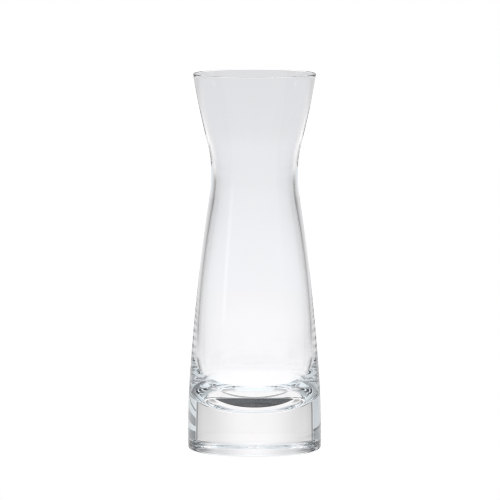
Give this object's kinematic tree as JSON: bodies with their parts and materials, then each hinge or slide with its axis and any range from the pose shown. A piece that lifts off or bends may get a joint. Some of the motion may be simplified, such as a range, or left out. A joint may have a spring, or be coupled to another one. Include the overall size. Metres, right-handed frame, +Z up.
{
  "type": "wine decanter",
  "caption": "Clear glass wine decanter: a tapering bowl with a narrow waist and a flared mouth, fused to a thick solid glass base that it stands on.",
  "frame": {"origin": "centre of the base's underside, on the plane it rests on", "axes": "+Z up along the decanter's axis, from the base to the mouth; X and Y are any two horizontal directions, because the decanter is round"},
  "size_m": [0.0973, 0.0974, 0.275],
  "materials": {
    "bowl_glass": "clear blown crystal glass, fire-polished, very slightly wavy",
    "base_glass": "clear solid crystal glass, polished, with a ground resting ring"
  },
  "bodies": {
    "root": {"bowl": "bowl_glass", "base": "base_glass"}
  },
  "joints": []
}
